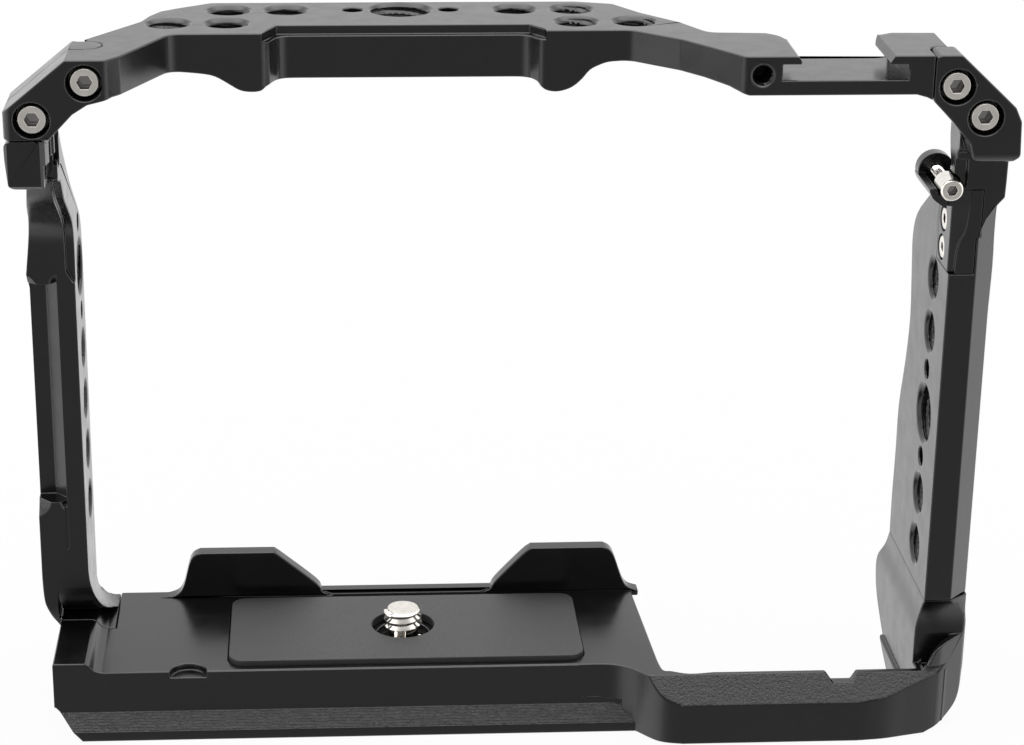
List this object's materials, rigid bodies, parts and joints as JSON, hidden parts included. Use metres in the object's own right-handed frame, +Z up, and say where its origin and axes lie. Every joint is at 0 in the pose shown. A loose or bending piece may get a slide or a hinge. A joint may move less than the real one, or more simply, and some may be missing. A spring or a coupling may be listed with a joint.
{
  "type": "camera cage",
  "caption": "Bolted aluminium cage that frames a mirrorless camera body, with tapped accessory holes, cold shoe, dovetail base, rubber pad and captive camera screw.",
  "frame": {"origin": "where the camera screw's axis meets the base's underside", "axes": "+X toward the strap lug side plate, +Y toward the lens side, +Z up along the camera screw"},
  "size_m": [0.152, 0.0458, 0.1154],
  "materials": {
    "black_anodised": "bead-blasted, black anodised, satin",
    "rubber_pad": "fine matt rubber",
    "nickel_steel": "nickel plated, polished"
  },
  "bodies": {
    "cage": {"base_plate": "black_anodised", "camera_pad": "rubber_pad", "left_side_plate": "black_anodised", "right_side_plate": "black_anodised", "top_plate": "black_anodised", "lug_bracket": "black_anodised", "bracket_screw_upper": "nickel_steel", "bracket_screw_lower": "nickel_steel", "top_left_screw_inner": "nickel_steel", "top_left_screw_outer": "nickel_steel", "top_right_screw_inner": "nickel_steel", "top_right_screw_outer": "nickel_steel", "left_foot_screw_near": "nickel_steel", "left_foot_screw_far": "nickel_steel", "left_foot_pin": "nickel_steel", "right_post_screw_near": "nickel_steel", "right_post_screw_far": "nickel_steel", "right_post_pin": "nickel_steel"},
    "screw_clip": {"camera_screw_clip": "nickel_steel"},
    "camera_screw": {"camera_screw": "nickel_steel"},
    "lug_screw": {"lug_screw": "nickel_steel"}
  },
  "joints": [
    {"name": "camera_screw_lift", "type": "slide", "parent": "cage", "child": "screw_clip", "axis": [0, 0, 1], "range_m": [0, 0.00115]},
    {"name": "camera_screw_turn", "type": "hinge", "parent": "screw_clip", "child": "camera_screw", "pos_m": [0, 0, 0.0085], "axis": [0, 0, 1], "continuous": true},
    {"name": "lug_screw_travel", "type": "slide", "parent": "cage", "child": "lug_screw", "axis": [0, -1, 0], "range_m": [0, 0.0076]}
  ]
}
